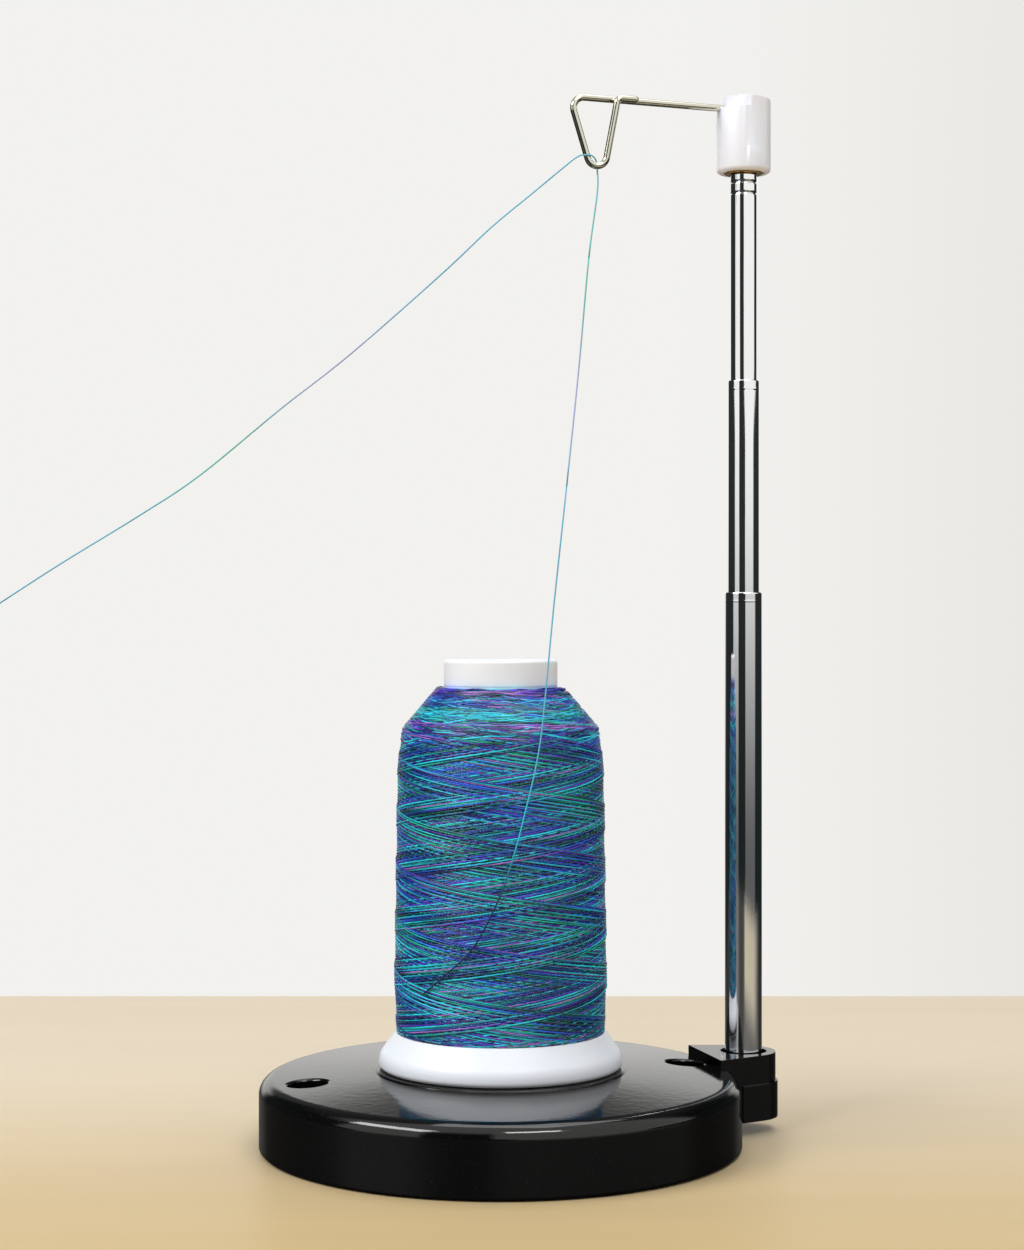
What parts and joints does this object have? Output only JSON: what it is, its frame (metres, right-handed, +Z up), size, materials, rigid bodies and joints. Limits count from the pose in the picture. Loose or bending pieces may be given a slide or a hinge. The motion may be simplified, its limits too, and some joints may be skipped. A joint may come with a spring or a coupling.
{
  "type": "single-cone thread stand",
  "caption": "Weighted round stand for one large spool of thread, with a telescoping side mast and a swivelling wire guide that leads the thread upward.",
  "frame": {"origin": "middle of the base's underside, on the table", "axes": "+Z up along the spindle, +X from the spindle to the mast, +Y to the left of the mast seen from the spindle"},
  "size_m": [0.2113, 0.127, 0.28],
  "materials": {
    "black_shell": "gloss",
    "black_moulding": "satin",
    "weight_steel": "turned",
    "foot_rubber": "matte",
    "screw_steel": "plated",
    "tube_chrome": "polished",
    "brass": "satin",
    "white_cap": "gloss",
    "wire_nickel": "polished",
    "spool_white": "satin",
    "wound_thread": "sheen",
    "loose_thread": "sheen"
  },
  "bodies": {
    "stand": {"base_shell": "black_shell", "base_weight": "weight_steel", "base_plate": "black_moulding", "base_pad": "foot_rubber", "deck_screws": "screw_steel", "spindle": "black_moulding", "spindle_bolt": "screw_steel", "spindle_washer": "screw_steel", "mast_bracket": "black_shell", "bracket_collar": "black_moulding", "bracket_screws": "screw_steel", "lower_tube": "tube_chrome", "mast_plug": "brass", "mast_screw": "screw_steel", "thread_spool_run": "loose_thread", "thread_lower_run": "loose_thread"},
    "mid": {"mid_tube": "tube_chrome", "mid_friction_sleeve": "brass", "thread_middle_run": "loose_thread"},
    "top": {"top_tube": "tube_chrome", "top_friction_sleeve": "brass", "cap_pivot": "screw_steel", "tip_bush": "brass", "thread_upper_run": "loose_thread"},
    "guide": {"guide_cap": "white_cap", "guide_wire": "wire_nickel", "thread_out_run": "loose_thread", "thread_end_knot": "loose_thread"},
    "spool": {"spool_core": "spool_white", "thread_package": "wound_thread", "thread_outer_turns": "wound_thread"}
  },
  "joints": [
    {"name": "mid_slide", "type": "slide", "parent": "stand", "child": "mid", "axis": [0, 0, 1], "range_m": [-0.055, 0.05], "deforming": ["thread_lower_run"]},
    {"name": "top_slide", "type": "slide", "parent": "mid", "child": "top", "axis": [0, 0, 1], "range_m": [-0.052, 0.05], "deforming": ["thread_middle_run"]},
    {"name": "guide_swivel", "type": "hinge", "parent": "top", "child": "guide", "pos_m": [0.0687, 0, 0.2], "axis": [0, 0, 1], "range_deg": [-90, 90], "deforming": ["thread_upper_run"]},
    {"name": "spool_spin", "type": "hinge", "parent": "stand", "child": "spool", "pos_m": [0, 0, 0.03], "axis": [0, 0, 1], "continuous": true}
  ]
}
